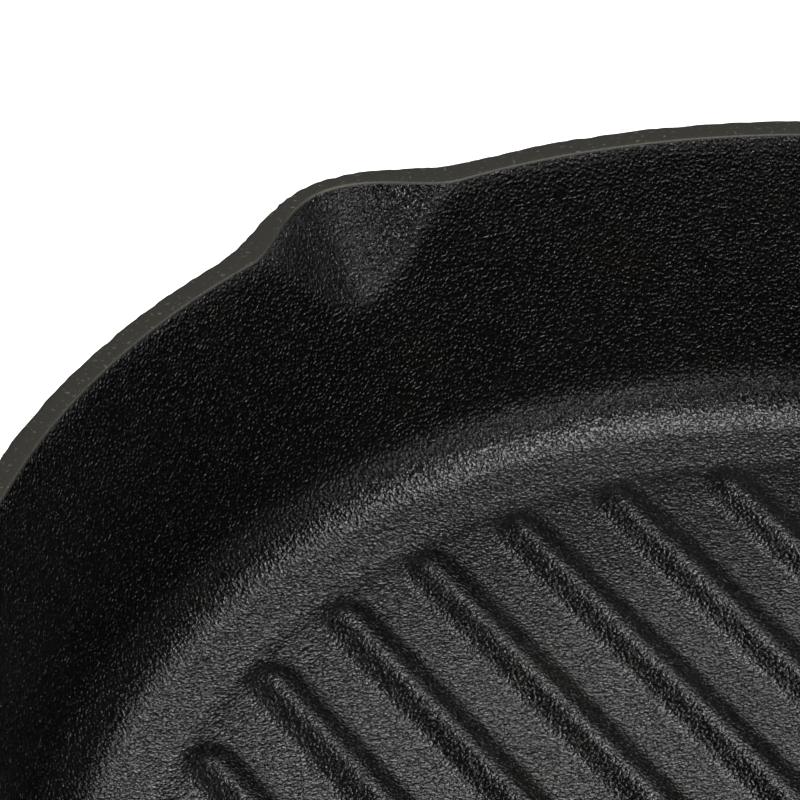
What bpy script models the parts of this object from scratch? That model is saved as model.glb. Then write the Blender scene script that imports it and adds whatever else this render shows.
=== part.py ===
import math

import bmesh
import bpy
from mathutils import Matrix

# Ribbed cast-iron grill pan. Metres, +Z up. The underside of the pan rests on z = 0, the handle
# points along +X when it is unfolded, and the ribs run along Y from spout to spout.

# casting
rim_radius = 0.130
rim_height = 0.0512
rim_rounding = 0.0004
wall_thickness = 0.0042
wall_lean = math.radians(12)
floor_thickness = 0.005
floor_step_run = 0.003
gutter_run = 0.0038
gutter_depth = 0.0008
cove_radius = 0.012
merge_distance = 0.000001
seam_distance = 0.00001
pan_segments = 120
cove_segments = 6

# ribs on the raised floor
rib_pitch = 0.0169
rib_count = 10
rib_shift = 0.001
rib_width = 0.010
rib_height = 0.0017
rib_end_overhang = 0.0012
rib_end_run = 0.005
rib_root = 0.001
rib_end_taper = 0.4
rib_section_steps = 8
rib_end_steps = 3

# pouring spouts
spout_turn = math.radians(2.3)
spout_reach_inside = 0.0082
spout_reach_outside = 0.0070
spout_half_width_inside = 0.0199
spout_half_width_outside = 0.0253
spout_fullness = 0.8
spout_slope_inside = 0.60
spout_slope_outside = 0.35
spout_rows = 4
spout_row_step = 0.0036
spout_gathering = 0.3

# helper loop opposite the handle
loop_reach = 0.032
loop_half_width = 0.044
loop_bar_width = 0.011
loop_thickness = 0.009
loop_drop = 0.0035
loop_steps = 28
loop_chamfer = 0.0016
loop_fullness = 0.8

# hinge lug and handle frame
clearance = 0.0003
pivot_reach = 0.017
pivot_drop = 0.0087
handle_tilt = math.radians(12)
lug_thickness = 0.014
lug_eye_radius = 0.0085
lug_face = 0.010
lug_depth = 0.027
lug_foot_drop = 0.0285
lug_arc_end = math.radians(-20)
notch_depth = 0.0075
arc_steps = 12
crease_angle = math.radians(32)
chamfer_angle = math.radians(50)

# hinge hardware
bolt_radius = 0.003
bolt_head_radius = 0.0058
bolt_head_height = 0.0034
bolt_head_bevel = 0.0011
bolt_slot_width = 0.0012
bolt_slot_depth = 0.0012
nut_radius = 0.0058
nut_height = 0.0036
nut_dome_height = 0.0024
nut_floor = 0.0012
nut_crown_radius = 0.0026
nut_crown_drop = 0.0003
nut_shoulder_radius = 0.0046
nut_shoulder_drop = 0.0012
washer_thickness = 0.0008
washer_radius = 0.0078
round_steps = 24

# cheeks and block
cheek_thickness = 0.0025
cheek_eye_radius = 0.0095
cheek_back = 0.058
cheek_chamfer = 0.0004
cheek_arc_start = math.radians(205)
cheek_arc_end = math.radians(-10)
band_top = -0.0103
band_bottom = -0.0273
neck_front = 0.0150
neck_low = -0.0060
rivet_radius = 0.0018
rivet_head_radius = 0.0032
rivet_head_height = 0.0014
rivet_crown_radius = 0.0019
rivet_crown_drop = 0.0003
rivet_front_u = 0.017
rivet_rear_u = 0.045
rivet_w = -0.0242

# sliding lock
lock_travel = 0.0075
lock_width = 0.0100
lock_top = -0.0130
lock_bottom = -0.0190
lock_back = 0.0465
lock_nose_chamfer = 0.0010
spring_recess = 0.0020
spring_front = 0.027
spring_back = 0.043
spring_width = 0.008
spring_thickness = 0.0005
spring_rise = 0.0008
spring_steps = 10
cover_front = 0.0225
cover_back = 0.0545
cover_thickness = 0.0014
cover_corner = 0.003
corner_steps = 4
button_front = 0.036
button_length = 0.010
button_neck_width = 0.0062
button_cap_width = 0.0110
button_cap_overhang = 0.0009
button_cap_height = 0.0036
button_groove_count = 3
button_groove_depth = 0.0007
button_groove_width = 0.0009
screw_radius = 0.0010
screw_head_radius = 0.0019
screw_head_height = 0.0009
screw_crown_radius = 0.0015
screw_length = 0.0034
screw_front_u = 0.0255
screw_front_y = 0.0067
screw_rear_u = 0.0515
screw_slot_width = 0.0006
screw_slot_depth = 0.0005

# grip
grip_axis_w = -0.0188
grip_oval_w = 1.06
grip_oval_y = 0.94
rod_radius = 0.003
rod_grip = 0.0077
rod_cover = 0.0025
ferrule_length = 0.0120
ferrule_radius = 0.0122
ferrule_wall = 0.0010
ferrule_plate = 0.0022
grip_length = 0.1074
grip_radius = 0.0138
grip_swell = (
    (0.0, 0.885), (0.12, 0.93), (0.30, 0.985), (0.50, 1.0), (0.68, 0.94),
    (0.84, 0.885), (0.93, 0.915), (0.98, 0.87), (1.0, 0.77),
)
grip_steps = 32
end_ferrule_length = 0.0036
end_ferrule_radius = 0.0108
end_edge = 0.001
eye_nut_radius = 0.0056
eye_nut_length = 0.0108
eye_reach = 0.007
eye_outer_radius = 0.0090
eye_hole_radius = 0.0045
eye_thickness = 0.0050
ring_radius = 0.0140
ring_wire_radius = 0.0015
ring_sit = 0.0025
ring_major_steps = 36
ring_minor_steps = 10

# looks: colour, roughness, metallic
iron = ((0.020, 0.020, 0.019), 0.45, 0.0)
steel = ((0.42, 0.42, 0.41), 0.35, 1.0)
spring_steel = ((0.20, 0.21, 0.23), 0.30, 1.0)
beech = ((0.36, 0.20, 0.09), 0.50, 0.0)

# derived positions
lean = math.tan(wall_lean)
cove_center_z = floor_thickness - gutter_depth + cove_radius
wall_at_cove = rim_radius - wall_thickness - (rim_height - cove_center_z) * lean
cove_center_r = wall_at_cove - cove_radius / math.cos(wall_lean)
floor_radius = cove_center_r - gutter_run - floor_step_run
rib_end_radius = floor_radius + rib_end_overhang
pivot_x = rim_radius + pivot_reach
pivot_z = rim_height - pivot_drop
lug_foot_height = pivot_z - lug_foot_drop
lug_half = lug_thickness / 2
washer_inner = lug_half + clearance
washer_outer = washer_inner + washer_thickness
cheek_inner = washer_outer + clearance
cheek_outer = cheek_inner + cheek_thickness
block_half = cheek_inner - clearance
block_front = lug_face + clearance
block_back = cheek_back - clearance
block_top = band_top - clearance
channel_half = lock_width / 2 + clearance
channel_bottom = lock_bottom - clearance
channel_back = lock_back + 2 * clearance
lock_front = block_front
cover_screws = {
    "cover_screw_left": (screw_front_u, screw_front_y),
    "cover_screw_right": (screw_front_u, -screw_front_y),
    "cover_screw_rear": (screw_rear_u, 0.0),
}
rod_front = cheek_back - rod_grip
ferrule_front = cheek_back + clearance
shoulder = ferrule_front + ferrule_length + clearance
grip_back = shoulder + grip_length
eye_nut_front = grip_back + end_ferrule_length + 2 * clearance
eye_nut_back = eye_nut_front + eye_nut_length
eye_u = eye_nut_back + eye_reach
rod_back = eye_nut_back - rod_cover
cover_bottom = band_top + clearance
cover_top = cover_bottom + cover_thickness
bore_radius = bolt_radius + clearance
over = 0.002


def clear_scene():
    for item in list(bpy.data.objects):
        bpy.data.objects.remove(item, do_unlink=True)


def make_material(name, color, roughness, metallic):
    material = bpy.data.materials.new(name)
    material.use_nodes = True
    shader = material.node_tree.nodes["Principled BSDF"]
    shader.inputs["Base Color"].default_value = (*color, 1.0)
    shader.inputs["Roughness"].default_value = roughness
    shader.inputs["Metallic"].default_value = metallic
    return material


def make_collection(name):
    collection = bpy.data.collections.new(name)
    bpy.context.scene.collection.children.link(collection)
    return collection


def add_mesh(name, points, faces, collection, edges=()):
    mesh = bpy.data.meshes.new(name)
    mesh.from_pydata(points, edges, faces)
    mesh.update()
    item = bpy.data.objects.new(name, mesh)
    collection.objects.link(item)
    return item


def face_outward(item):
    shell = bmesh.new()
    shell.from_mesh(item.data)
    bmesh.ops.remove_doubles(shell, verts=shell.verts, dist=merge_distance)
    bmesh.ops.recalc_face_normals(shell, faces=shell.faces)
    shell.to_mesh(item.data)
    shell.free()


def apply_modifiers(item):
    bpy.context.view_layer.update()
    evaluated = item.evaluated_get(bpy.context.evaluated_depsgraph_get())
    result = bpy.data.meshes.new_from_object(evaluated)
    previous = item.data
    item.modifiers.clear()
    item.data = result
    bpy.data.meshes.remove(previous)


def revolve(name, profile, steps, collection):
    """Turn (radius, height) points around Z; the list runs down the outer side."""
    points = [(radius, 0, height) for radius, height in profile]
    edges = [(i, i + 1) for i in range(len(points) - 1)]
    item = add_mesh(name, points, [], collection, edges)
    turn = item.modifiers.new("turn", "SCREW")
    turn.axis = "Z"
    turn.angle = math.tau
    turn.steps = steps
    turn.render_steps = steps
    turn.use_merge_vertices = True
    turn.merge_threshold = seam_distance
    apply_modifiers(item)
    face_outward(item)
    return item


def ring_profile(inner, outer, low, high):
    """Closed rectangular section for a tube or washer."""
    return [(outer, high), (outer, low), (inner, low), (inner, high), (outer, high)]


def loft(name, sections, collection):
    """Skin equal-length closed sections and cap both ends."""
    count = len(sections[0])
    points = [point for section in sections for point in section]
    faces = []
    for row in range(len(sections) - 1):
        start = row * count
        for i in range(count):
            j = (i + 1) % count
            faces.append((start + i, start + j, start + count + j, start + count + i))
    last = (len(sections) - 1) * count
    faces.append(tuple(range(count))[::-1])
    faces.append(tuple(last + i for i in range(count)))
    item = add_mesh(name, points, faces, collection)
    face_outward(item)
    return item


def side_prism(name, outline, low_y, high_y, collection):
    """Extrude a closed (x, z) outline along Y."""
    sections = [[(x, y, z) for x, z in outline] for y in (low_y, high_y)]
    return loft(name, sections, collection)


def top_prism(name, outline, low_z, high_z, collection):
    """Extrude a closed (x, y) outline along Z."""
    sections = [[(x, y, z) for x, y in outline] for z in (low_z, high_z)]
    return loft(name, sections, collection)


def box(name, x_range, y_range, z_range, collection):
    (x0, x1), (z0, z1) = x_range, z_range
    return side_prism(name, [(x0, z0), (x1, z0), (x1, z1), (x0, z1)], *y_range, collection)


def along_y(item):
    item.data.transform(Matrix.Rotation(-math.pi / 2, 4, "X"))
    return item


def along_x(item):
    item.data.transform(Matrix.Rotation(math.pi / 2, 4, "Y"))
    return item


def shift(item, x=0.0, y=0.0, z=0.0):
    item.data.transform(Matrix.Translation((x, y, z)))
    return item


def cylinder_y(name, radius, low_y, high_y, x, z, collection, steps=round_steps):
    item = revolve(name, [(0, high_y), (radius, high_y), (radius, low_y), (0, low_y)], steps, collection)
    along_y(item)
    return shift(item, x=x, z=z)


def combine(item, other, operation):
    change = item.modifiers.new("shape", "BOOLEAN")
    change.operation = operation
    change.solver = "EXACT"
    change.object = other
    apply_modifiers(item)
    other.hide_render = True
    other.display_type = "WIRE"


def join_bodies(item, others):
    for other in others:
        combine(item, other, "UNION")


def cut(item, others):
    for other in others:
        combine(item, other, "DIFFERENCE")


def chamfer(item, width):
    edge = item.modifiers.new("edge", "BEVEL")
    edge.width = width
    edge.segments = 1
    edge.limit_method = "ANGLE"
    edge.angle_limit = chamfer_angle
    apply_modifiers(item)


def finish(item, look, smooth=True):
    face_outward(item)
    item.data.materials.clear()
    item.data.materials.append(make_material(item.name, *look))
    for face in item.data.polygons:
        face.use_smooth = smooth
    if smooth:
        item.data.set_sharp_from_angle(angle=crease_angle)


def arc(center, radius, start, end, steps):
    points = []
    for i in range(steps + 1):
        angle = start + (end - start) * i / steps
        points.append((center[0] + radius * math.cos(angle), center[1] + radius * math.sin(angle)))
    return points


def raised_cosine(offset, half_width):
    if abs(offset) >= half_width:
        return 0.0
    return 0.5 + 0.5 * math.cos(math.pi * offset / half_width)


def pan_profile():
    """Radius and height from the middle of the floor, over the rim, to the middle of the base."""
    sweep = math.pi / 2 - wall_lean
    inner_radius = rim_radius - wall_thickness
    gutter_level = floor_thickness - gutter_depth
    inner_center = (cove_center_r, cove_center_z)
    outer_cove = cove_radius + wall_thickness * math.cos(wall_lean)
    wall_here = rim_radius - (rim_height - outer_cove) * lean
    outer_center = (wall_here - outer_cove / math.cos(wall_lean), outer_cove)
    down = -math.pi / 2
    profile = [(0, floor_thickness), (floor_radius, floor_thickness)]
    profile.append((floor_radius + floor_step_run / 2, floor_thickness - gutter_depth / 2))
    profile.append((floor_radius + floor_step_run, gutter_level))
    profile += arc(inner_center, cove_radius, down, down + sweep, cove_segments)
    for row in range(spout_rows, 0, -1):
        drop = row * spout_row_step
        profile.append((inner_radius - drop * lean, rim_height - drop))
    profile.append((inner_radius - rim_rounding * lean, rim_height - rim_rounding))
    profile.append((inner_radius + rim_rounding, rim_height))
    profile.append((rim_radius - rim_rounding, rim_height))
    profile.append((rim_radius - rim_rounding * lean, rim_height - rim_rounding))
    for row in range(1, spout_rows + 2):
        drop = row * spout_row_step
        profile.append((rim_radius - drop * lean, rim_height - drop))
    profile += arc(outer_center, outer_cove, down + sweep, down, cove_segments)
    profile.append((0, 0))
    return profile


def spout_lift(angle, radius, height):
    """How far the wall is pushed outward at this point to form a spout."""
    drop = rim_height - height
    middle = rim_radius - wall_thickness / 2 - drop * lean
    offset = rim_radius * math.sin(angle)
    if radius < middle:
        bell = raised_cosine(offset, spout_half_width_inside) ** spout_fullness
        return max(0.0, spout_reach_inside * bell - spout_slope_inside * drop)
    bell = raised_cosine(offset, spout_half_width_outside)
    return max(0.0, spout_reach_outside * bell - spout_slope_outside * drop)


def form_spouts(item):
    """Gather the segments toward the two spouts, then push the wall out."""
    for vertex in item.data.vertices:
        radius = math.hypot(vertex.co.x, vertex.co.y)
        if radius < floor_radius / 2:
            continue
        from_spout = math.atan2(vertex.co.y, vertex.co.x) - math.pi / 2
        from_spout -= spout_gathering * math.sin(2 * from_spout)
        angle = from_spout + math.pi / 2 + spout_turn
        if vertex.co.z > floor_thickness + cove_radius:
            radius += spout_lift(from_spout, radius, vertex.co.z)
        vertex.co.x = radius * math.cos(angle)
        vertex.co.y = radius * math.sin(angle)
    item.data.update()


def rib_section(x, y, width, height):
    low = floor_thickness - rib_root
    section = [(x - width / 2, y, low)]
    for i in range(rib_section_steps + 1):
        across = width * (i / rib_section_steps - 0.5)
        lift = height * raised_cosine(across, width / 2)
        section.append((x + across, y, floor_thickness + lift))
    section.append((x + width / 2, y, low))
    return section


def make_rib(x, collection):
    reach = math.sqrt(rib_end_radius ** 2 - x ** 2)
    near_end = []
    for i in range(rib_end_steps + 1):
        swell = math.sin(math.pi / 2 * (i + 1) / (rib_end_steps + 1))
        near_end.append((reach - rib_end_run * i / rib_end_steps, swell))
    stations = [(-y, swell) for y, swell in near_end] + near_end[::-1]
    sections = []
    for y, swell in stations:
        sections.append(rib_section(x, y, rib_width * (1 - rib_end_taper * (1 - swell)), rib_height * swell))
    return loft("rib", sections, collection)


def make_loop(collection):
    """Flat loop cast onto the wall opposite the handle."""
    high = rim_height - loop_drop
    wall_middle = rim_radius - wall_thickness / 2 - (loop_drop + loop_thickness) * lean
    root = math.sqrt(wall_middle ** 2 - loop_half_width ** 2)
    outline = []
    hole = []
    for i in range(loop_steps + 1):
        angle = math.pi * i / loop_steps
        along = math.cos(angle)
        outward = math.sin(angle) ** loop_fullness
        outline.append((-root - (rim_radius - root + loop_reach) * outward, loop_half_width * along))
    hole_half = loop_half_width - loop_bar_width
    hole_root = rim_radius - wall_thickness / 2
    hole_reach = rim_radius + loop_reach - loop_bar_width - hole_root
    for i in range(loop_steps + 1):
        angle = math.pi * i / loop_steps
        hole.append((-hole_root - hole_reach * math.sin(angle) ** loop_fullness, hole_half * math.cos(angle)))
    bar = top_prism("loop", outline, high - loop_thickness, high, collection)
    opening = top_prism("loop_hole", hole, high - loop_thickness - over, high + over, collection)
    cut(bar, [opening])
    chamfer(bar, loop_chamfer)
    return bar


def keep_outside(item, collection):
    """Trim a casting addition to the outer face of the wall."""
    inset = wall_thickness / 2
    low_radius = rim_radius - inset - (rim_height + over) * lean
    high_radius = rim_radius - inset + over * lean
    profile = [(0, rim_height + over), (high_radius, rim_height + over), (low_radius, -over), (0, -over)]
    core = revolve("wall_core", profile, pan_segments, collection)
    cut(item, [core])


def to_world(u, w):
    x = pivot_x + u * math.cos(handle_tilt) - w * math.sin(handle_tilt)
    z = pivot_z + u * math.sin(handle_tilt) + w * math.cos(handle_tilt)
    return x, z


def make_lug(collection):
    """Hinge lug with an eye, a stop face and an open notch for the lock."""
    face_top = -lug_eye_radius
    notch_back = lug_face - notch_depth
    notch_high = lock_top + clearance
    notch_low = lock_bottom - clearance
    local = arc((0, 0), lug_eye_radius, math.pi / 2 - handle_tilt, lug_arc_end, arc_steps)
    local += [(lug_face, face_top), (lug_face, notch_high), (notch_back, notch_high)]
    local += [(notch_back, notch_low), (lug_face, notch_low), (lug_face, -lug_depth)]
    outline = [to_world(u, w) for u, w in local]
    root = rim_radius - wall_thickness * 2
    outline += [(root, lug_foot_height), (root, pivot_z + lug_eye_radius)]
    lug = side_prism("lug", outline, -lug_half, lug_half, collection)
    return lug


def make_pan(parts, tools):
    pan = revolve("pan_body", pan_profile(), pan_segments, parts)
    form_spouts(pan)
    first = rib_shift - rib_pitch * (rib_count - 1) / 2
    ribs = [make_rib(first + rib_pitch * i, tools) for i in range(rib_count)]
    loop = make_loop(tools)
    lug = make_lug(tools)
    for addition in (loop, lug):
        keep_outside(addition, tools)
    join_bodies(pan, ribs + [loop, lug])
    reach = lug_half + over
    cut(pan, [cylinder_y("lug_bore", bore_radius, -reach, reach, pivot_x, pivot_z, tools)])
    finish(pan, iron)


def place_on_handle(item):
    item.location = (pivot_x, 0, pivot_z)
    item.rotation_euler = (0, -handle_tilt, 0)


def slot_cutter(length, width, depth, top, collection):
    half = length / 2
    return box("slot", (-half, half), (-width / 2, width / 2), (top - depth, top + over), collection)


def make_hinge(parts, tools):
    head_top = -(cheek_outer + clearance + bolt_head_height)
    head_low = -(cheek_outer + clearance)
    shank_end = cheek_outer + clearance + nut_height
    profile = [(0, shank_end), (bolt_radius, shank_end), (bolt_radius, head_low)]
    profile += [(bolt_head_radius, head_low), (bolt_head_radius, head_top + bolt_head_bevel)]
    profile += [(bolt_head_radius - bolt_head_bevel, head_top), (0, head_top)]
    bolt = revolve("hinge_bolt", profile, round_steps, parts)
    slot_floor = head_top + bolt_slot_depth
    slot = slot_cutter(4 * bolt_head_radius, bolt_slot_width, bolt_slot_depth + over, slot_floor, tools)
    cut(bolt, [slot])
    along_y(bolt)

    low = cheek_outer + clearance
    high = low + nut_height + clearance + nut_floor
    top = high + nut_dome_height
    profile = [(0, top), (nut_crown_radius, top - nut_crown_drop)]
    profile += [(nut_shoulder_radius, top - nut_shoulder_drop), (nut_radius, high), (nut_radius, low)]
    bore_end = low + nut_height + clearance
    profile += [(bore_radius, low), (bore_radius, bore_end), (0, bore_end)]
    nut = revolve("hinge_cap_nut", profile, round_steps, parts)
    along_y(nut)

    items = [bolt, nut]
    for name, side in (("hinge_washer_left", 1), ("hinge_washer_right", -1)):
        low, high = sorted((side * washer_inner, side * washer_outer))
        washer = revolve(name, ring_profile(bore_radius, washer_radius, low, high), round_steps, parts)
        items.append(along_y(washer))
    for item in items:
        finish(item, steel)
        place_on_handle(item)


def screw_drill(u, y, low, high, collection):
    radius = screw_radius + clearance
    profile = [(0, high), (radius, high), (radius, low), (0, low)]
    drill = revolve("screw_drill", profile, round_steps, collection)
    return shift(drill, x=u, y=y)


def cheek_outline():
    outline = arc((0, 0), cheek_eye_radius, cheek_arc_start, cheek_arc_end, arc_steps * 2)
    outline += [(lug_face + clearance, neck_low), (neck_front, band_top), (cheek_back, band_top)]
    outline += [(cheek_back, band_bottom), (lug_face + clearance, band_bottom)]
    return outline


def make_bracket(parts, tools):
    rivets_u = {"rivet_front": rivet_front_u, "rivet_rear": rivet_rear_u}
    hole = rivet_radius + clearance
    far = cheek_outer + over
    items = []
    for name, side in (("cheek_left", 1), ("cheek_right", -1)):
        low, high = sorted((side * cheek_inner, side * cheek_outer))
        cheek = side_prism(name, cheek_outline(), low, high, parts)
        chamfer(cheek, cheek_chamfer)
        cutters = [cylinder_y("cheek_bore", bore_radius, -far, far, 0, 0, tools)]
        for u in rivets_u.values():
            cutters.append(cylinder_y("rivet_hole", hole, -far, far, u, rivet_w, tools))
        cut(cheek, cutters)
        items.append(cheek)

    half = (-block_half, block_half)
    block = box("bracket_block", (block_front, block_back), half, (band_bottom, block_top), parts)
    chamfer(block, cheek_chamfer)
    channel_x = (block_front - over, channel_back)
    channel_y = (-channel_half, channel_half)
    channel_z = (channel_bottom, block_top + over)
    recess = (spring_front - 2 * clearance, spring_back + 2 * clearance)
    recess_z = (channel_bottom - spring_recess, channel_bottom + over)
    recess_y = (-spring_width / 2 - clearance, spring_width / 2 + clearance)
    cutters = [
        box("channel", channel_x, channel_y, channel_z, tools),
        box("spring_recess", recess, recess_y, recess_z, tools),
    ]
    for u in rivets_u.values():
        cutters.append(cylinder_y("rivet_hole", hole, -far, far, u, rivet_w, tools))
    socket = revolve("rod_socket", [
        (0, block_back + over), (rod_radius + clearance, block_back + over),
        (rod_radius + clearance, rod_front - clearance), (0, rod_front - clearance),
    ], round_steps, tools)
    cutters.append(shift(along_x(socket), z=grip_axis_w))
    for u, y in cover_screws.values():
        cutters.append(screw_drill(u, y, block_top - screw_length, block_top + over, tools))
    cut(block, cutters)
    items.append(block)

    for name, u in rivets_u.items():
        low = cheek_outer + clearance
        high = low + rivet_head_height
        profile = [(0, high), (rivet_crown_radius, high - rivet_crown_drop)]
        profile += [(rivet_head_radius, low), (rivet_radius, low), (rivet_radius, -low)]
        profile += [(rivet_head_radius, -low), (rivet_crown_radius, -high + rivet_crown_drop)]
        profile.append((0, -high))
        rivet = revolve(name, profile, round_steps, parts)
        along_y(rivet)
        items.append(shift(rivet, x=u, z=rivet_w))
    for item in items:
        finish(item, steel, smooth=False)
        place_on_handle(item)


def make_lock(parts, tools):
    half = lock_width / 2
    nose = lock_nose_chamfer
    outline = [(lock_front, lock_bottom + nose), (lock_front + nose, lock_bottom), (lock_back, lock_bottom)]
    outline += [(lock_back, lock_top), (lock_front + nose, lock_top), (lock_front, lock_top - nose)]
    bolt = side_prism("lock_bolt", outline, -half, half, parts)

    cap_low = cover_top + clearance
    cap_high = cap_low + button_cap_height
    neck_half = button_neck_width / 2
    cap_half = button_cap_width / 2
    back = button_front + button_length
    neck_y = (-neck_half, neck_half)
    button = box("lock_button", (button_front, back), neck_y, (lock_top + clearance, cap_high), parts)
    cap_x = (button_front - button_cap_overhang, back + button_cap_overhang)
    cap = box("button_cap", cap_x, (-cap_half, cap_half), (cap_low, cap_high), tools)
    chamfer(cap, button_groove_depth)
    join_bodies(button, [cap])
    grooves = []
    for i in range(button_groove_count):
        u = button_front + button_length * (i + 1) / (button_groove_count + 1)
        span = (u - button_groove_width / 2, u + button_groove_width / 2)
        depth = (cap_high - button_groove_depth, cap_high + over)
        grooves.append(box("groove", span, (-cap_half - over, cap_half + over), depth, tools))
    cut(button, grooves)

    middle = (spring_front + spring_back) / 2
    low = channel_bottom - spring_recess + clearance
    upper = []
    lower = []
    for i in range(spring_steps + 1):
        u = spring_front + (spring_back - spring_front) * i / spring_steps
        lift = low + spring_rise * raised_cosine(u - middle, (spring_back - spring_front) / 2)
        lower.append((u, lift))
        upper.append((u, lift + spring_thickness))
    spring_half = spring_width / 2
    spring = side_prism("lock_spring", lower + upper[::-1], -spring_half, spring_half, parts)

    length = cover_back - cover_front
    wide = cheek_outer
    outline = []
    corners = ((1, 1, 0), (-1, 1, 1), (-1, -1, 2), (1, -1, 3))
    for x_side, y_side, quarter in corners:
        center_x = cover_front + length / 2 + x_side * (length / 2 - cover_corner)
        center = (center_x, y_side * (wide - cover_corner))
        start = quarter * math.pi / 2
        outline += arc(center, cover_corner, start, start + math.pi / 2, corner_steps)
    cover = top_prism("lock_cover", outline, cover_bottom, cover_top, parts)
    slot_x = (button_front - lock_travel - clearance, back + clearance)
    slot_y = (-neck_half - clearance, neck_half + clearance)
    cutters = [box("button_slot", slot_x, slot_y, (cover_bottom - over, cover_top + over), tools)]
    for u, y in cover_screws.values():
        cutters.append(screw_drill(u, y, cover_bottom - over, cover_top + over, tools))
    cut(cover, cutters)

    items = [bolt, button, cover]
    high = cover_top + clearance + screw_head_height
    neck = cover_top + clearance
    tip = block_top - screw_length + clearance
    for name, (u, y) in cover_screws.items():
        profile = [(0, high), (screw_crown_radius, high)]
        profile += [(screw_head_radius, neck + screw_head_height / 2), (screw_head_radius, neck)]
        profile += [(screw_radius, neck), (screw_radius, tip), (0, tip)]
        screw = revolve(name, profile, round_steps, parts)
        slot = slot_cutter(4 * screw_head_radius, screw_slot_width, screw_slot_depth, high, tools)
        cut(screw, [slot])
        items.append(shift(screw, x=u, y=y))
    for item in items:
        finish(item, steel, smooth=False)
        place_on_handle(item)
    finish(spring, spring_steel, smooth=False)
    place_on_handle(spring)


def grip_shape(item):
    """Give a turned piece the oval section of the grip and move it onto the grip axis."""
    along_x(item)
    item.data.transform(Matrix.Diagonal((1, grip_oval_y, grip_oval_w, 1)))
    return shift(item, z=grip_axis_w)


def make_grip(parts, tools):
    bore = rod_radius + clearance
    back = ferrule_front + ferrule_length
    plate = ferrule_front + ferrule_plate
    inner = ferrule_radius - ferrule_wall
    profile = [(bore, plate), (inner, plate), (inner, back), (ferrule_radius, back)]
    profile += [(ferrule_radius, ferrule_front + ferrule_wall)]
    profile += [(ferrule_radius - ferrule_wall, ferrule_front), (bore, ferrule_front), (bore, plate)]
    ferrule = grip_shape(revolve("front_ferrule", profile, grip_steps, parts))

    spigot = inner - clearance
    start = plate + clearance
    outside = [(grip_radius * swell, shoulder + grip_length * share) for share, swell in grip_swell]
    profile = [(bore, grip_back)] + outside[::-1] + [(spigot, shoulder), (spigot, start)]
    profile += [(bore, start), (bore, grip_back)]
    grip = grip_shape(revolve("grip", profile, grip_steps, parts))

    low = grip_back + clearance
    high = low + end_ferrule_length
    profile = [(bore, high), (eye_nut_radius + end_edge, high)]
    profile += [(end_ferrule_radius, low + end_ferrule_length / 3), (end_ferrule_radius, low)]
    profile += [(bore, low), (bore, high)]
    end_ferrule = grip_shape(revolve("end_ferrule", profile, grip_steps, parts))

    profile = [(0, rod_back), (rod_radius, rod_back), (rod_radius, rod_front), (0, rod_front)]
    rod = shift(along_x(revolve("tie_rod", profile, round_steps, parts)), z=grip_axis_w)

    low = eye_nut_front
    socket_end = rod_back + clearance
    profile = [(0, eye_nut_back), (eye_nut_radius - end_edge, eye_nut_back)]
    profile += [(eye_nut_radius, eye_nut_back - end_edge), (eye_nut_radius, low)]
    profile += [(bore, low), (bore, socket_end), (0, socket_end)]
    nut = shift(along_x(revolve("eye_nut", profile, round_steps, parts)), z=grip_axis_w)
    half = eye_thickness / 2
    reach = half + over
    disc = cylinder_y("eye_disc", eye_outer_radius, -half, half, eye_u, grip_axis_w, tools, grip_steps)
    eye = cylinder_y("eye_hole", eye_hole_radius, -reach, reach, eye_u, grip_axis_w, tools, grip_steps)
    join_bodies(nut, [disc])
    cut(nut, [eye])

    for item in (ferrule, end_ferrule, rod, nut):
        finish(item, steel)
        place_on_handle(item)
    finish(grip, beech)
    place_on_handle(grip)


def make_ring(parts):
    """Wire ring that hangs straight down from the eye."""
    bpy.ops.mesh.primitive_torus_add(
        major_radius=ring_radius, minor_radius=ring_wire_radius,
        major_segments=ring_major_steps, minor_segments=ring_minor_steps,
    )
    ring = bpy.context.active_object
    ring.name = "hanging_ring"
    ring.data.name = "hanging_ring"
    for collection in list(ring.users_collection):
        collection.objects.unlink(ring)
    parts.objects.link(ring)
    ring.data.transform(Matrix.Rotation(math.pi / 2, 4, "Y"))
    shift(ring, z=-ring_sit - ring_radius)
    x, z = to_world(eye_u, grip_axis_w)
    ring.location = (x, 0, z)
    finish(ring, steel)


clear_scene()
parts = make_collection("grill_pan")
tools = make_collection("cutters")
make_pan(parts, tools)
make_hinge(parts, tools)
make_bracket(parts, tools)
make_lock(parts, tools)
make_grip(parts, tools)
make_ring(parts)
for cutter in tools.objects:
    cutter.hide_render = True
    cutter.display_type = "WIRE"
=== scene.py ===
import math

import bmesh
import bpy
from mathutils import Matrix, Vector, noise


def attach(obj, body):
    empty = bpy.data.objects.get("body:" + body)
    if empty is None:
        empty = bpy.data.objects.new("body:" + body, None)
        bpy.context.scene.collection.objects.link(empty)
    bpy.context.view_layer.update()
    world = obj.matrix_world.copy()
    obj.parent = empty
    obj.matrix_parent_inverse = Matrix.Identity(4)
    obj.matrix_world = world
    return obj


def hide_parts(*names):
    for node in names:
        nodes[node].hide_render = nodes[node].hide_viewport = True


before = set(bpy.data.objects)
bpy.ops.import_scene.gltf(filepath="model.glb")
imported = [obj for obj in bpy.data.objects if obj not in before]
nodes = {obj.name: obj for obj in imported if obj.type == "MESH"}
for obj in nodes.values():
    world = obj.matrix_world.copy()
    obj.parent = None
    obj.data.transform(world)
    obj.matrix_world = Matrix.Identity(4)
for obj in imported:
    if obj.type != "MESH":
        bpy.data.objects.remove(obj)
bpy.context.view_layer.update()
print("frame loaded", len(nodes), "nodes")

hair = 0.0001  # places closer than this count as the same
white = (1.0, 1.0, 1.0, 1.0)
noiseSpread = (0.3, 0.7)  # nearly all values of a noise texture lie between these
waveRepeat = 0.314  # a wave texture of scale one repeats after this many metres


def toLinear(share):  # one sRGB channel, 0 to 1
    return share / 12.92 if share <= 0.04045 else ((share + 0.055) / 1.055) ** 2.4


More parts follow.
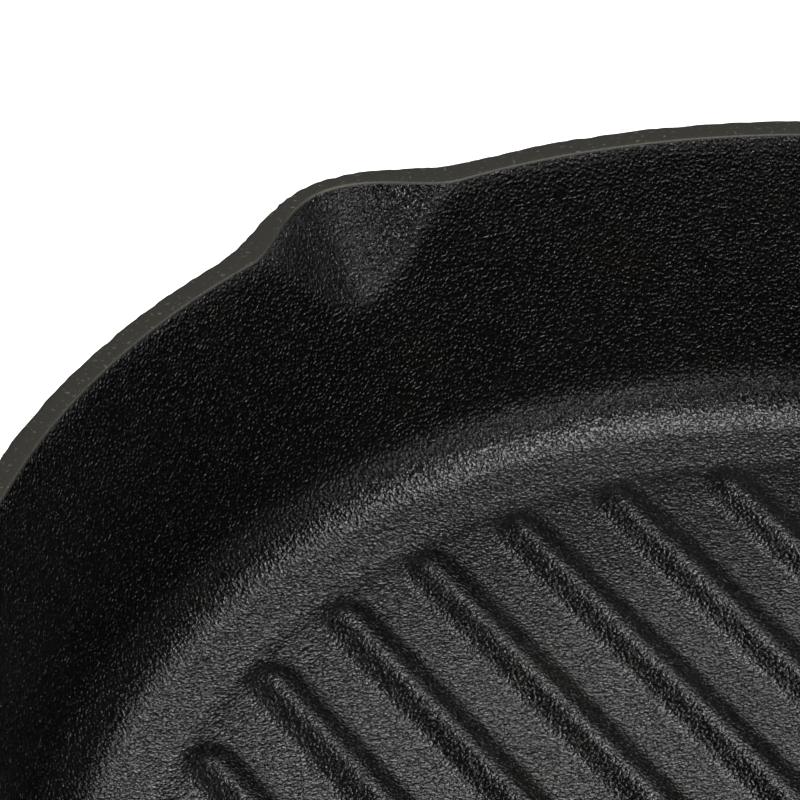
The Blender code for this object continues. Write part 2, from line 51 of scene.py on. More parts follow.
def fromHex(text):  # sRGB hex to linear colour
    return tuple(toLinear(int(text[i:i + 2], 16) / 255) for i in (1, 3, 5)) + (1.0,)


def connect(tree, node, links):
    for key, source in links.items():
        tree.links.new(source, node.inputs[key])


def addNode(tree, kind, settings=None, links=None):
    # a key that starts with a capital or is a number names an input; any other names a setting
    node = tree.nodes.new(kind)
    for key, value in (settings or {}).items():
        if isinstance(key, int) or key[0].isupper():
            node.inputs[key].default_value = value
        else:
            setattr(node, key, value)
    connect(tree, node, links or {})
    return node


def addNoise(tree, place, size, detail, rough=0.5, distortion=0.0):  # size in metres
    return addNode(tree, "ShaderNodeTexNoise", {
        "Scale": 1 / size, "Detail": detail, "Roughness": rough, "Distortion": distortion},
        {"Vector": place}).outputs[0]


def addRange(tree, source, before=(0.0, 1.0), after=(0.0, 1.0), smooth=False):
    return addNode(tree, "ShaderNodeMapRange", {
        "interpolation_type": "SMOOTHSTEP" if smooth else "LINEAR",
        "From Min": before[0], "From Max": before[1], "To Min": after[0], "To Max": after[1]},
        {"Value": source}).outputs[0]


def addMath(tree, operation, first, second):
    return addNode(tree, "ShaderNodeMath", {"operation": operation},
                   {0: first, 1: second}).outputs[0]


def addRamp(tree, source, stops):  # stops give places and sRGB hex colours
    node = addNode(tree, "ShaderNodeValToRGB", None, {"Fac": source})
    elements = node.color_ramp.elements
    while len(elements) < len(stops):
        elements.new(0.5)
    for element, (place, color) in zip(elements, stops):
        element.position = place
        element.color = fromHex(color)
    return node.outputs[0]


def stretched(tree, place, sizes):  # give a texture another size along each axis
    return addNode(tree, "ShaderNodeMapping", {"Scale": tuple(1 / size for size in sizes)},
                   {"Vector": place}).outputs[0]


def newMaterial(name):
    material = bpy.data.materials.new(name)
    material.use_nodes = True
    tree = material.node_tree
    shader = tree.nodes["Principled BSDF"]
    place = addNode(tree, "ShaderNodeTexCoord").outputs["Object"]
    return material, tree, shader, place


def deselectAll():
    for item in bpy.context.selected_objects:
        item.select_set(False)


def makeActive(*items):
    deselectAll()
    for item in items:
        item.select_set(True)
    bpy.context.view_layer.objects.active = items[0]


def editMode(on=True):
    bpy.ops.object.mode_set(mode="EDIT" if on else "OBJECT")


def pickFaces(item, test):  # select faces by their middle and normal, in edit mode
    bpy.ops.mesh.select_mode(type="FACE")
    bpy.ops.mesh.select_all(action="DESELECT")
    shape = bmesh.from_edit_mesh(item.data)
    for face in shape.faces:
        face.select_set(bool(test(face.calc_center_median(), face.normal)))
    bmesh.update_edit_mesh(item.data)


def pickEdges(item, test):  # select edges by their two ends, in edit mode
    bpy.ops.mesh.select_mode(type="EDGE")
    bpy.ops.mesh.select_all(action="DESELECT")
    shape = bmesh.from_edit_mesh(item.data)
    for edge in shape.edges:
        edge.select_set(bool(test(edge.verts[0].co, edge.verts[1].co)))
    bmesh.update_edit_mesh(item.data)


def drawLine(name, points):
    # a small plane is merged to one point, which is then extruded from point to point
    deselectAll()
    bpy.ops.mesh.primitive_plane_add(size=0.001, location=points[0])
    item = bpy.context.object
    item.name = item.data.name = name
    bpy.ops.object.transform_apply(location=True, rotation=True, scale=True)
    editMode()
    bpy.ops.mesh.select_mode(type="VERT")
    bpy.ops.mesh.select_all(action="SELECT")
    bpy.ops.mesh.merge(type="CENTER")
    for before, after in zip(points, points[1:]):
        step = Vector(after) - Vector(before)
        bpy.ops.mesh.extrude_region_move(TRANSFORM_OT_translate={"value": step})
    return item


def tidyShell(distance=0.00001):  # merge doubles and turn the faces outwards, in edit mode
    bpy.ops.mesh.select_all(action="SELECT")
    bpy.ops.mesh.remove_doubles(threshold=distance)
    bpy.ops.mesh.normals_make_consistent(inside=False)


def turnLine(name, points, steps):  # spin a drawn line once round the upright axis
    item = drawLine(name, points)
    bpy.ops.mesh.select_all(action="SELECT")
    bpy.ops.mesh.spin(steps=steps, angle=math.tau, center=(0, 0, 0), axis=(0, 0, 1))
    tidyShell()
    return item


def extrudeOutline(name, points, along):  # close a drawn outline to a face and extrude it
    item = drawLine(name, points)
    bpy.ops.mesh.select_all(action="SELECT")
    bpy.ops.mesh.edge_face_add()
    bpy.ops.mesh.extrude_region_move(TRANSFORM_OT_translate={"value": along})
    tidyShell()
    return item


def combine(item, other, operation):  # join or cut one body with another
    change = item.modifiers.new("shape", "BOOLEAN")
    change.operation = operation
    change.solver = "EXACT"
    change.object = other
    makeActive(item)
    bpy.ops.object.modifier_apply(modifier=change.name)
    bpy.data.objects.remove(other, do_unlink=True)


def giveLook(item, material):
    item.data.materials.clear()
    item.data.materials.append(material)


def softStep(value, low, high):
    share = min(1.0, max(0.0, (value - low) / (high - low)))
    return share * share * (3 - 2 * share)


def bell(offset, half):  # raised cosine
    return 0.5 + 0.5 * math.cos(math.pi * offset / half) if abs(offset) < half else 0.0


casting = {
    "rimRadius": 0.130, "rimHeight": 0.0512, "wall": 0.0042, "lean": math.radians(12),
    "floorRadius": 0.0995, "floorLevel": 0.0048, "stepRun": 0.0030, "gutterLevel": 0.0046,
    "riseRadius": 0.1000, "riseRun": 0.0035, "coveRadius": 0.0105, "coveStart": math.radians(6.5),
    "outerCove": 0.016108, "baseRing": 0.03, "insideLow": 0.004,
    "rimEdge": 0.0004, "rimInset": 0.0009, "rimOutset": 0.0012,
    "joinRadius": 0.1042, "gridRadius": 0.1034, "gridStep": 0.0009, "joinMerge": 0.000002,
    "smoothAngle": math.radians(38),
}
rows = {"round": 600, "gutter": 5, "cove": 16, "wall": 25, "edge": 4, "outside": 15, "foot": 9}
ribs = {
    "count": 10, "pitch": 0.0169, "shift": 0.001, "width": 0.0100, "height": 0.0017,
    "endRadius": 0.1005, "endRun": 0.0050, "endTaper": 0.4,
}
spout = {  # across is the share of the wall's thickness over which inside turns to outside
    "turn": math.radians(2.3), "gather": 0.3, "fullness": 0.8, "blend": 0.0008, "fade": 0.012,
    "reachIn": 0.0082, "halfIn": 0.0199, "slopeIn": 0.68, "dig": 0.2, "digDepth": 0.008,
    "reachOut": 0.0070, "halfOut": 0.0253, "slopeOut": 0.35, "lowest": 0.02, "across": (0.1, 0.9),
}
uneven = {  # waves per metre and heights of what the mould leaves
    "broad": 28, "broadHeight": 0.00016, "narrow": 90, "narrowHeight": 0.00005,
    "outsideCalm": 0.5, "outsideShift": 0.00018, "low": 0.012, "full": 0.03,
    "floor": 40, "floorHeight": 0.00008, "floorFade": (0.090, 0.102),
}
nicks = {
    "coarse": 330, "fine": 700, "fineShare": 0.6, "depth": 0.00050, "reach": 0.0012, "across": 0.8,
}
leanSlope = math.tan(casting["lean"])


def arcPoints(center, radius, start, end, steps):
    turns = [start + (end - start) * i / steps for i in range(steps + 1)]
    return [(center[0] + radius * math.cos(t), 0, center[1] + radius * math.sin(t)) for t in turns]


def gutterRise(radius):  # the floor curls up gently before the cove turns it into the wall
    run, full = max(0.0, radius - casting["riseRadius"]), casting["riseRun"]
    curl = min(run, full) ** 2 / (2 * full) + max(0.0, run - full)
    return curl * math.tan(casting["coveStart"])


def coveCenter():  # the arc that meets both the gutter's end and the wall
    c = casting
    cove, turn = c["coveRadius"], c["coveStart"]
    inner = c["rimRadius"] - c["wall"]
    start = c["rimRadius"] - 2 * cove
    tries = 20  # each try moves the start closer to where both meet
    for i in range(tries):
        middleHeight = c["gutterLevel"] + gutterRise(start) + cove * math.cos(turn)
        middleRadius = (inner - (c["rimHeight"] - middleHeight) * leanSlope
                        - cove / math.cos(c["lean"]))
        start = middleRadius + cove * math.sin(turn)
    return middleRadius, middleHeight


def bowlLine():
    # the bowl's section, from the gutter over the rim to the underside
    c = casting
    inner, outer = c["rimRadius"] - c["wall"], c["rimRadius"]
    top, edge = c["rimHeight"], c["rimEdge"]
    down, sweep = -math.pi / 2, math.pi / 2 - c["lean"]
    cove = arcPoints(coveCenter(), c["coveRadius"], down + c["coveStart"], down + sweep,
                     rows["cove"])
    line = []
    for i in range(rows["gutter"]):
        radius = c["joinRadius"] + (cove[0][0] - c["joinRadius"]) * i / rows["gutter"]
        line.append((radius, 0, c["gutterLevel"] + gutterRise(radius)))
    line += cove
    wallStart = line[-1]
    for i in range(1, rows["wall"] + 1):
        height = wallStart[2] + (top - c["rimInset"] - wallStart[2]) * i / rows["wall"]
        line.append((inner - (top - height) * leanSlope, 0, height))
    innerEdge = arcPoints((inner + edge, top - edge), edge, math.pi, math.pi / 2, rows["edge"])
    outerEdge = arcPoints((outer - edge, top - edge), edge, math.pi / 2, 0, rows["edge"])
    flat = c["wall"] - 2 * edge
    line += innerEdge
    line += [(inner + edge + flat * i / rows["edge"], 0, top) for i in range(1, rows["edge"])]
    line += outerEdge
    outerCenter = (c["rimRadius"] - (top - c["outerCove"]) * leanSlope
                   - c["outerCove"] / math.cos(c["lean"]), c["outerCove"])
    foot = arcPoints(outerCenter, c["outerCove"], down + sweep, down, rows["foot"])
    start = top - c["rimOutset"]
    for i in range(rows["outside"]):
        height = start + (foot[0][2] - start) * i / rows["outside"]
        line.append((outer - (top - height) * leanSlope, 0, height))
    line += foot
    line.append((c["baseRing"], 0, 0))
    return line


def spoutLift(offset, drop, side):
    # how far the wall is pushed outward: a channel that runs down the wall and fades out
    s = spout
    bellShape = bell(offset, s["half" + side])
    if side == "In":
        bellShape = bellShape ** s["fullness"]
        bellShape *= 1 + s["dig"] * softStep(drop, 0.0, s["digDepth"])  # hollowed below the rim
    lift = s["reach" + side] * bellShape - s["slope" + side] * drop
    if lift < -s["fade"]:
        return 0.0
    rounded = (lift + math.sqrt(lift * lift + s["blend"] ** 2)) / 2
    return rounded * softStep(lift, -s["fade"], 0.0)


def castSway(spot, outside):
    # cast, not turned; the outside is calmer and stays within the solid's box
    u = uneven
    sway = noise.noise(spot * u["broad"]) * u["broadHeight"]
    sway += noise.noise(spot * u["narrow"]) * u["narrowHeight"]
    return sway * (1 - u["outsideCalm"] * outside) - u["outsideShift"] * outside


def nickDepth(spot):  # small nicks in the rim's outer edge
    chip = abs(noise.noise(spot * nicks["coarse"]))
    chip += nicks["fineShare"] * abs(noise.noise(spot * nicks["fine"]))
    return chip * nicks["depth"]


def shapeBowl(item):
    # push out the two spouts and give the turned bowl its unevenness
    c = casting
    for vertex in item.data.vertices:
        x, y, z = vertex.co
        radius = math.hypot(x, y)
        if radius < c["joinRadius"] / 2:
            continue
        fromSpout = math.atan2(y, x) - math.pi / 2
        fromSpout -= spout["gather"] * math.sin(2 * fromSpout)
        turn = fromSpout + math.pi / 2 + spout["turn"]
        drop = c["rimHeight"] - z
        across = (radius - (c["rimRadius"] - c["wall"] - drop * leanSlope)) / c["wall"]
        outside = softStep(across, *spout["across"])
        if z > spout["lowest"]:
            offset = c["rimRadius"] * math.sin(fromSpout)
            radius += spoutLift(offset, drop, "In") * (1 - outside)
            radius += spoutLift(offset, drop, "Out") * outside
        spot = Vector((math.cos(turn) * radius, math.sin(turn) * radius, z))
        if z > uneven["low"]:
            radius += castSway(spot, outside) * softStep(z, uneven["low"], uneven["full"])
        if across > nicks["across"] and drop < nicks["reach"]:
            radius -= nickDepth(spot)
        vertex.co = (math.cos(turn) * radius, math.sin(turn) * radius, z)


def makeBowl():
    c = casting
    item = turnLine("panBody", bowlLine(), rows["round"])
    base, join = c["baseRing"] + hair, c["joinRadius"] + hair
    pickEdges(item, lambda a, b: max(a.z, b.z) < hair and max(a.xy.length, b.xy.length) < base)
    bpy.ops.mesh.edge_face_add()
    # a disc closes the inside for now, and gives way to the ribbed floor later
    pickEdges(item, lambda a, b: (min(a.z, b.z) > c["insideLow"]
                                  and max(a.xy.length, b.xy.length) < join))
    bpy.ops.mesh.edge_face_add()
    bpy.ops.mesh.select_all(action="SELECT")
    bpy.ops.mesh.normals_make_consistent(inside=False)
    editMode(False)
    shapeBowl(item)
    return item


helperLoop = {
    "top": 0.0477, "thickness": 0.0090, "rootRadius": 0.1254, "reach": 0.1620, "half": 0.0440,
    "holeReach": 0.1510, "holeHalf": 0.0330, "fullness": 0.8, "steps": 48,
    "rounding": 0.0022, "roundSteps": 4,
}


def loopCurve(reach, half, low):
    h = helperLoop
    root = math.sqrt(h["rootRadius"] ** 2 - half ** 2)
    points = []
    for i in range(h["steps"] + 1):
        turn = math.pi * i / h["steps"]
        out = (reach - root) * math.sin(turn) ** h["fullness"]
        points.append((-root - out, half * math.cos(turn), low))
    return points


def makeHelperLoop():
    h = helperLoop
    low = h["top"] - h["thickness"]
    outline = loopCurve(h["reach"], h["half"], low)
    outline += loopCurve(h["holeReach"], h["holeHalf"], low)[::-1]
    item = extrudeOutline("helperLoop", outline, (0, 0, h["thickness"]))
    pickEdges(item, lambda a, b: abs(a.z - b.z) < hair)
    bpy.ops.mesh.bevel(offset=h["rounding"], segments=h["roundSteps"], affect="EDGES")
    editMode(False)
    return item


hingeLug = {
    "pivot": (0.147, 0.0, 0.0425), "tilt": math.radians(12), "half": 0.007, "root": 0.1266,
    "eye": 0.0085, "eyeStart": math.radians(78), "eyeSweep": math.radians(98), "eyeSteps": 24,
    "face": 0.010, "depth": 0.027, "foot": 0.0140, "notch": (0.0025, -0.0127, -0.0193),
    "bore": 0.0033, "boreLength": 0.03, "boreSteps": 64, "rounding": 0.0007, "roundSteps": 3,
}


def onHandle(u, y, w):  # a point given along and square to the unfolded handle
    px, py, pz = hingeLug["pivot"]
    cosT, sinT = math.cos(hingeLug["tilt"]), math.sin(hingeLug["tilt"])
    return (px + u * cosT - w * sinT, py + y, pz + u * sinT + w * cosT)


def makeHingeLug():
    # an eye for the pivot, a stop face for the handle, and a notch for the lock
    g = hingeLug
    notchBack, notchHigh, notchLow = g["notch"]
    local = []
    for i in range(g["eyeSteps"] + 1):
        turn = g["eyeStart"] - g["eyeSweep"] * i / g["eyeSteps"]
        local.append((g["eye"] * math.cos(turn), g["eye"] * math.sin(turn)))
    local += [(g["face"], -g["eye"]), (g["face"], notchHigh), (notchBack, notchHigh)]
    local += [(notchBack, notchLow), (g["face"], notchLow), (g["face"], -g["depth"])]
    outline = [onHandle(u, -g["half"], w) for u, w in local]
    high = g["pivot"][2] + g["eye"]
    lowRoot = g["root"] - (high - g["foot"]) * leanSlope
    outline += [(lowRoot, -g["half"], g["foot"]), (g["root"], -g["half"], high)]
    item = extrudeOutline("hingeLug", outline, (0, 2 * g["half"], 0))
    pickEdges(item, lambda a, b: abs(a.y - b.y) < hair)
    bpy.ops.mesh.bevel(offset=g["rounding"], segments=g["roundSteps"], affect="EDGES")
    editMode(False)
    return item


def makeBore():
    g = hingeLug
    deselectAll()
    bpy.ops.mesh.primitive_cylinder_add(vertices=g["boreSteps"], radius=g["bore"],
                                        depth=g["boreLength"], location=g["pivot"],
                                        rotation=(math.pi / 2, 0, 0))
    item = bpy.context.object
    item.name = "lugBore"
    bpy.ops.object.transform_apply(location=True, rotation=True, scale=True)
    return item


def floorHeight(x, y):
    c = casting
    radius = math.hypot(x, y)
    drop = c["floorLevel"] - c["gutterLevel"]
    stepEnd = c["floorRadius"] + c["stepRun"]
    level = c["floorLevel"] - drop * softStep(radius, c["floorRadius"], stepEnd)
    level += gutterRise(radius)
    row = round((x - ribs["shift"]) / ribs["pitch"] - 0.5) + 0.5
    middle = ribs["shift"] + row * ribs["pitch"]
    if abs(row) > ribs["count"] / 2 or abs(middle) > ribs["endRadius"]:
        return level
    reach = math.sqrt(ribs["endRadius"] ** 2 - middle ** 2)
    left = reach - abs(y)  # what is left of the rib before its end
    if left <= 0:
        return level
    swell = math.sin(math.pi / 2 * min(1.0, left / ribs["endRun"]))
    width = ribs["width"] * (1 - ribs["endTaper"] * (1 - swell))
    return level + ribs["height"] * swell * bell(x - middle, width / 2)


def makeFloor():
    # a fine grid, trimmed to the round floor, lifted into ribs
    c = casting
    step = c["gridStep"]
    count = 2 * math.ceil(c["gridRadius"] / step)
    deselectAll()
    bpy.ops.mesh.primitive_grid_add(x_subdivisions=count, y_subdivisions=count, size=count * step,
                                    location=(0, 0, 0))
    item = bpy.context.object
    item.name = "ribbedFloor"
    editMode()
    pickFaces(item, lambda middle, normal: middle.xy.length > c["gridRadius"] - step)
    bpy.ops.mesh.delete(type="FACE")
    editMode(False)
    for vertex in item.data.vertices:
        x, y = vertex.co.xy
        spot = Vector((x, y, 0))
        sway = noise.noise(spot * uneven["floor"]) * uneven["floorHeight"]
        sway *= 1 - softStep(spot.length, *uneven["floorFade"])
        vertex.co.z = floorHeight(x, y) + sway
    return item


def makePan():
    pan = makeBowl()
    for addition in (makeHelperLoop(), makeHingeLug()):
        combine(pan, addition, "UNION")
    combine(pan, makeBore(), "DIFFERENCE")
    ribbedFloor = makeFloor()
    makeActive(pan)
    editMode()
    nearAxis, facingUp = 0.01, 0.9
    pickFaces(pan, lambda middle, normal: (middle.xy.length < nearAxis and normal.z > facingUp
                                           and middle.z > casting["insideLow"]))
    bpy.ops.mesh.delete(type="FACE")
    editMode(False)
    makeActive(pan, ribbedFloor)
    bpy.ops.object.join()
    editMode()
    bpy.ops.mesh.select_mode(type="EDGE")
    bpy.ops.mesh.select_all(action="DESELECT")
    bpy.ops.mesh.select_non_manifold(extend=False, use_wire=False, use_boundary=True,
                                     use_multi_face=False, use_non_contiguous=False,
                                     use_verts=False)
    bpy.ops.mesh.fill(use_beauty=True)
    tidyShell(casting["joinMerge"])
    editMode(False)
    pan.name = pan.data.name = "panBody"
    makeActive(pan)
    bpy.ops.object.shade_smooth_by_angle(angle=casting["smoothAngle"])
    return pan


panBody = makePan()
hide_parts("pan_body")
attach(panBody, "pan")
panShape = bmesh.new()
panShape.from_mesh(panBody.data)
openEdges = sum(1 for edge in panShape.edges if len(edge.link_faces) != 2)
triangles = sum(len(face.verts) - 2 for face in panShape.faces)
print("pan made", len(panShape.faces), "faces", triangles, "triangles", openEdges, "open edges")
panShape.free()


seasonedIron = {  # pairs of depths: as cast, and on the bare rim with its painted edge highlight
    "dark": "#020202", "light": "#050504", "rust": "#0c0806", "patch": 0.018,
    "grain": 0.0005, "grainDepth": (0.00018, 0.00002),
    "grit": 0.0005, "gritRange": (0.50, 0.66), "gritDepth": (0.00013, 0.00001),
    "rough": (0.07, 0.11), "bareRough": (0.62, 0.50),
    "rimLow": 0.05104, "rimBlend": 0.00005, "rimRagged": 0.00007,
    "rimColor": "#31302c", "rimSpeck": "#5e5c55", "speck": 0.0006,
    # the colour along the rim's inner edge is a painted highlight
    "edgeLow": 0.05088, "edgeBlend": 0.00012, "edgeHighlightColor": "#45443f", "inward": (-0.02, -0.06),
}


def makeSeasonedIron():
    # sand-cast iron with an oil finish baked on: pebbly, nearly black, glossy in points
    # the rim is ground flat after casting: bare, dull and grey, with small specks; a painted
    # highlight runs along its inner edge
    s = seasonedIron
    material, tree, shader, place = newMaterial("seasonedCastIron")
    mounds = addNoise(tree, place, s["grain"], 1.0, distortion=0.4)
    grit = addNoise(tree, place, s["grit"], 0.0)
    grains = addRange(tree, grit, s["gritRange"], smooth=True)
    patch = addNoise(tree, place, s["patch"], 3.0)

    # the ground rim is all that lies higher than rimLow, with a slightly ragged border
    height = addNode(tree, "ShaderNodeSeparateXYZ", None, {0: place}).outputs["Z"]
    ragged = addRange(tree, mounds, noiseSpread, (-s["rimRagged"], s["rimRagged"]))
    raised = addMath(tree, "ADD", height, ragged)
    ground = addRange(tree, raised, (s["rimLow"], s["rimLow"] + s["rimBlend"]), smooth=True)

    # the rim's inner edge gets a painted highlight: a lighter, glossier strip high up, facing the
    # middle of the pan
    facing = addNode(tree, "ShaderNodeTexCoord").outputs["Normal"]
    level = addNode(tree, "ShaderNodeMapping", {"Scale": (1.0, 1.0, 0.0)}, {"Vector": place})
    outward = addNode(tree, "ShaderNodeVectorMath", {"operation": "DOT_PRODUCT"},
                      {0: facing, 1: level.outputs[0]})
    inward = addRange(tree, outward.outputs["Value"], s["inward"])
    high = addRange(tree, raised, (s["edgeLow"], s["edgeLow"] + s["edgeBlend"]), smooth=True)
    paintedEdgeHighlight = addMath(tree, "MULTIPLY", inward, high)
    # the bare ground rim together with the painted highlight strip: metallic, with their own
    # roughness and grain
    bareAndHighlight = addMath(tree, "MAXIMUM", ground, paintedEdgeHighlight)

    tone = addRamp(tree, patch, [(0.30, s["dark"]), (0.60, s["light"]), (0.80, s["rust"])])
    specks = addNoise(tree, place, s["speck"], 2.0)
    speckTone = addRamp(tree, specks, [(0.62, s["rimColor"]), (0.78, s["rimSpeck"])])
    # the painted highlight colour is mixed in along the rim's inner edge
    rimToneAndHighlight = addNode(tree, "ShaderNodeMix", {"data_type": "RGBA", 7: fromHex(s["edgeHighlightColor"])},
                      {0: paintedEdgeHighlight, 6: speckTone})
    color = addNode(tree, "ShaderNodeMix", {"data_type": "RGBA"},
                    {0: bareAndHighlight, 6: tone, 7: rimToneAndHighlight.outputs[2]})
    gloss = addRange(tree, patch, noiseSpread, s["rough"])
    bareGloss = addRange(tree, paintedEdgeHighlight, after=s["bareRough"])
    rough = addNode(tree, "ShaderNodeMix", {"data_type": "FLOAT"},
                    {0: bareAndHighlight, 2: gloss, 3: bareGloss})
    moundDepth = addRange(tree, bareAndHighlight, after=s["grainDepth"])
    gritDepth = addRange(tree, bareAndHighlight, after=s["gritDepth"])
    coarse = addNode(tree, "ShaderNodeBump", {"Strength": 1.0},
                     {"Height": mounds, "Distance": moundDepth})
    small = addNode(tree, "ShaderNodeBump", {"Strength": 1.0},
                    {"Height": grains, "Distance": gritDepth, "Normal": coarse.outputs[0]})
    connect(tree, shader, {"Base Color": color.outputs[2], "Metallic": bareAndHighlight,
                           "Roughness": rough.outputs[0], "Normal": small.outputs[0]})
    return material


def alongHandle(tree, place):
    # the unfolded handle's own axes: X runs along the grip from the pivot
    turn = Matrix.Rotation(hingeLug["tilt"], 3, "Y")
    shift = turn @ Vector(hingeLug["pivot"])
    return addNode(tree, "ShaderNodeMapping", {
        "Rotation": (0.0, hingeLug["tilt"], 0.0), "Location": tuple(-shift)},
        {"Vector": place}).outputs[0]


steelLook = {"smudge": "#8f8d88", "depth": 0.000012, "cloud": 0.014, "spread": (0.7, 1.3)}
steels = {  # scratch gives a scratch's size along and across the handle
    "brushedSteel": {"color": "#a9a8a4", "scratch": (0.009, 0.00035, 0.00035),
                     "rough": (0.26, 0.42)},
    "turnedSteel": {"color": "#b3b2ad", "scratch": (0.00030, 0.006, 0.006), "rough": (0.22, 0.36)},
    "polishedSteel": {"color": "#c2c1bd", "scratch": (0.003, 0.003, 0.003), "rough": (0.12, 0.22)},
}


def makeSteel(name):
    # plain steel with fine scratches and faint, duller clouds where it was handled
    s, own = steelLook, steels[name]
    material, tree, shader, place = newMaterial(name)
    sized = stretched(tree, alongHandle(tree, place), own["scratch"])
    lines = addNoise(tree, sized, 1.0, 3.0, rough=0.6)
    cloud = addNoise(tree, place, s["cloud"], 3.0)
    tone = addRamp(tree, cloud, [(0.30, s["smudge"]), (0.62, own["color"])])
    both = addMath(tree, "ADD", lines, cloud)
    rough = addRange(tree, both, s["spread"], own["rough"])
    bump = addNode(tree, "ShaderNodeBump", {"Strength": 1.0, "Distance": s["depth"]},
                   {"Height": lines})
    shader.inputs["Metallic"].default_value = 1.0
    connect(tree, shader, {"Base Color": tone, "Roughness": rough, "Normal": bump.outputs[0]})
    return material


springLook = {"blue": "#27324a", "straw": "#4a3d33", "patch": 0.006, "rough": 0.28}


def makeBluedSpring():
    # spring steel tempered to blue: dark, with a straw-coloured bloom
    s = springLook
    material, tree, shader, place = newMaterial("bluedSpringSteel")
    patch = addNoise(tree, place, s["patch"], 2.0)
    tone = addRamp(tree, patch, [(0.40, s["blue"]), (0.70, s["straw"])])
    shader.inputs["Metallic"].default_value = 1.0
    shader.inputs["Roughness"].default_value = s["rough"]
    connect(tree, shader, {"Base Color": tone})
    return material


beechLook = {
    "pale": "#b98655", "warm": "#a87345", "dark": "#8a5a34", "fleck": "#6e4527",
    "ring": 0.0034, "ringShare": 0.35, "heart": (0.0, 0.021, 0.034), "logStretch": (0.10, 1.0, 1.0),
    "fibre": (0.012, 0.00030, 0.00030), "fibreShare": 0.9, "fibreShift": -0.15,
    "fleckSize": (0.0026, 0.00042, 0.00042), "fleckRange": (0.60, 0.68),
    "rough": (0.38, 0.55), "depth": 0.00003,
}


def makeOiledBeech():
    # beech turned round and rubbed with oil: straight grain, short dark flecks, satin
    s = beechLook
    material, tree, shader, place = newMaterial("oiledBeech")
    local = alongHandle(tree, place)
    # the heart of the log lies beside the grip, so the rings cross it as long streaks
    log = addNode(tree, "ShaderNodeMapping", {"Location": s["heart"], "Scale": s["logStretch"]},
                  {"Vector": local})
    rings = addNode(tree, "ShaderNodeTexWave", {
        "wave_type": "RINGS", "rings_direction": "X", "Scale": waveRepeat / s["ring"],
        "Distortion": 2.2, "Detail": 2.0, "Detail Scale": 0.6}, {"Vector": log.outputs[0]})
    fibre = addNoise(tree, stretched(tree, local, s["fibre"]), 1.0, 3.0)
    fleck = addNoise(tree, stretched(tree, local, s["fleckSize"]), 1.0, 1.0)
    ringShare = addNode(tree, "ShaderNodeMath", {"operation": "MULTIPLY", 1: s["ringShare"]},
                        {0: rings.outputs["Fac"]})
    fibreShare = addNode(tree, "ShaderNodeMath", {
        "operation": "MULTIPLY_ADD", 1: s["fibreShare"], 2: s["fibreShift"]}, {0: fibre})
    both = addMath(tree, "ADD", ringShare.outputs[0], fibreShare.outputs[0])
    wood = addRamp(tree, both, [(0.12, s["pale"]), (0.50, s["warm"]), (0.90, s["dark"])])
    dash = addRange(tree, fleck, s["fleckRange"])
    color = addNode(tree, "ShaderNodeMix", {"data_type": "RGBA", 7: fromHex(s["fleck"])},
                    {0: dash, 6: wood})
    rough = addRange(tree, fibre, noiseSpread, s["rough"])
    bump = addNode(tree, "ShaderNodeBump", {
        "Strength": 0.6, "Distance": s["depth"], "Filter Width": 0.1}, {"Height": fibre})
    connect(tree, shader, {"Base Color": color.outputs[2], "Roughness": rough,
                           "Normal": bump.outputs[0]})
    return material


iron = makeSeasonedIron()
brushed, turned, polished = [makeSteel(name) for name in steels]
spring = makeBluedSpring()
beech = makeOiledBeech()
finishes = {
    brushed: ("cheek_left", "cheek_right", "bracket_block", "lock_bolt", "lock_button",
              "lock_cover"),
    turned: ("hinge_bolt", "hinge_cap_nut", "hinge_washer_left", "hinge_washer_right",
             "rivet_front", "rivet_rear", "cover_screw_left", "cover_screw_right",
             "cover_screw_rear", "front_ferrule", "tie_rod", "end_ferrule", "eye_nut"),
    polished: ("hanging_ring",),
    spring: ("lock_spring",),
    beech: ("grip",),
}
giveLook(panBody, iron)
for material, names in finishes.items():
    for name in names:
        nodes[name].material_slots[0].material = material
print("finishes made", len(finishes) + 1)


studio = {
    "floorRadius": 8.0, "floorSteps": 96, "floorColor": "#f4f4f2", "floorRough": 0.9,
    "floorShine": 0.1, "floorGlow": 0.45, "glowRange": (0.6, 2.2),
    "wallLevel": 0.9, "worldFill": 0.05, "wallRange": (0.05, 0.35),
    "aim": (0.0, -0.09, 0.0), "distance": 1.3,
}
softboxes = {  # turn and height in degrees as seen from the pan, size in metres, radiance
    "topSoftbox": {"turn": 192, "height": 77, "size": (1.40, 0.48), "radiance": 7.6},
    "backSoftbox": {"turn": 228, "height": 50, "size": (1.10, 0.60), "radiance": 2.0},
    "rightSoftbox": {"turn": 12, "height": 35, "size": (0.60, 0.60), "radiance": 12.0},
    "frontSoftbox": {"turn": 88, "height": 31, "size": (0.70, 0.28), "radiance": 3.4},
    "leftSoftbox": {"turn": 120, "height": 32, "size": (0.50, 0.60), "radiance": 1.0},
}


def makeStage():
    # matt white paper, which glows where it is seen or mirrored but gives no light
    deselectAll()
    bpy.ops.mesh.primitive_circle_add(vertices=studio["floorSteps"], radius=studio["floorRadius"],
                                      fill_type="NGON")
    floor = bpy.context.object
    floor.name = "studioFloor"
    material, tree, shader, place = newMaterial("whitePaperFloor")
    shader.inputs["Base Color"].default_value = fromHex(studio["floorColor"])
    shader.inputs["Roughness"].default_value = studio["floorRough"]
    shader.inputs["Specular IOR Level"].default_value = studio["floorShine"]
    shader.inputs["Emission Color"].default_value = white
    path = addNode(tree, "ShaderNodeLightPath").outputs
    seen = addMath(tree, "MAXIMUM", path["Is Camera Ray"], path["Is Glossy Ray"])
    shown = addMath(tree, "MAXIMUM", seen, path["Is Transmission Ray"])
    # far from the pan the lights fade, so the paper glows more there
    away = addNode(tree, "ShaderNodeVectorMath", {"operation": "LENGTH"}, {0: place})
    level = addRange(tree, away.outputs["Value"], studio["glowRange"],
                     (studio["floorGlow"], 1.0), smooth=True)
    connect(tree, shader, {"Emission Strength": addMath(tree, "MULTIPLY", shown, level)})
    giveLook(floor, material)


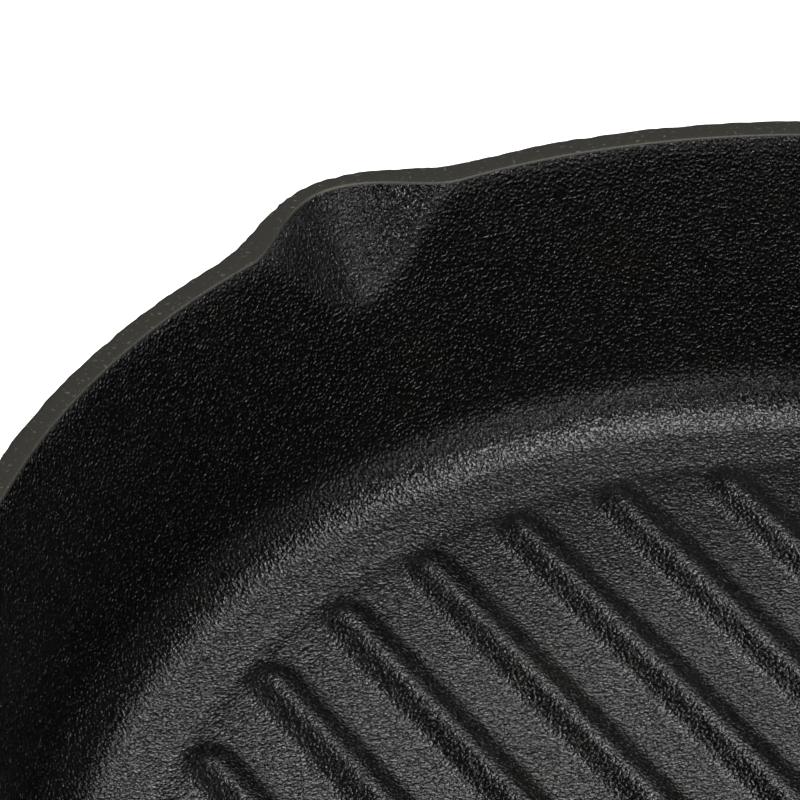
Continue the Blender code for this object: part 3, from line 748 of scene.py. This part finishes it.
def makeWorld():
    world = bpy.data.worlds.new("studio")
    bpy.context.scene.world = world
    world.use_nodes = True
    tree = world.node_tree
    backdrop = tree.nodes["Background"]
    backdrop.inputs["Color"].default_value = white
    # a pale wall round the horizon, a dim ceiling above it; the camera sees plain white
    place = addNode(tree, "ShaderNodeTexCoord").outputs["Generated"]
    height = addNode(tree, "ShaderNodeSeparateXYZ", None, {0: place}).outputs["Z"]
    strength = addRange(tree, height, studio["wallRange"],
                        (studio["wallLevel"], studio["worldFill"]), smooth=True)
    path = addNode(tree, "ShaderNodeLightPath").outputs
    connect(tree, backdrop, {
        "Strength": addMath(tree, "MAXIMUM", strength, path["Is Camera Ray"])})


def makeSoftbox(name, box):
    light = bpy.data.lights.new(name, "AREA")
    light.shape = "RECTANGLE"
    light.size, light.size_y = box["size"]
    light.energy = math.pi * light.size * light.size_y * box["radiance"]
    item = bpy.data.objects.new(name, light)
    bpy.context.scene.collection.objects.link(item)
    turn, height = math.radians(box["turn"]), math.radians(box["height"])
    level = math.cos(height)
    aim = Vector((math.cos(turn) * level, math.sin(turn) * level, math.sin(height)))
    item.location = Vector(studio["aim"]) + studio["distance"] * aim
    item.rotation_euler = (-aim).to_track_quat("-Z", "Y").to_euler()


view = {  # found from the rim, the ribs and the spout; angles in degrees, lens in millimetres
    "place": (0.31288694, 0.35785280, 0.48248433),
    "turn": (50.84358517, -0.83708753, 147.44717228),
    "lens": 212.75645, "sensor": 36.0, "clip": (0.01, 20.0),
}


def makeCamera():
    data = bpy.data.cameras.new("camera")
    data.sensor_width = view["sensor"]
    data.lens = view["lens"]
    data.clip_start, data.clip_end = view["clip"]
    camera = bpy.data.objects.new("camera", data)
    bpy.context.scene.collection.objects.link(camera)
    camera.location = view["place"]
    camera.rotation_euler = [math.radians(angle) for angle in view["turn"]]
    bpy.context.scene.camera = camera


makeStage()
makeWorld()
for name, box in softboxes.items():
    makeSoftbox(name, box)
makeCamera()
bpy.context.scene.view_settings.view_transform = "Standard"
print("studio ready", len(softboxes), "lights")
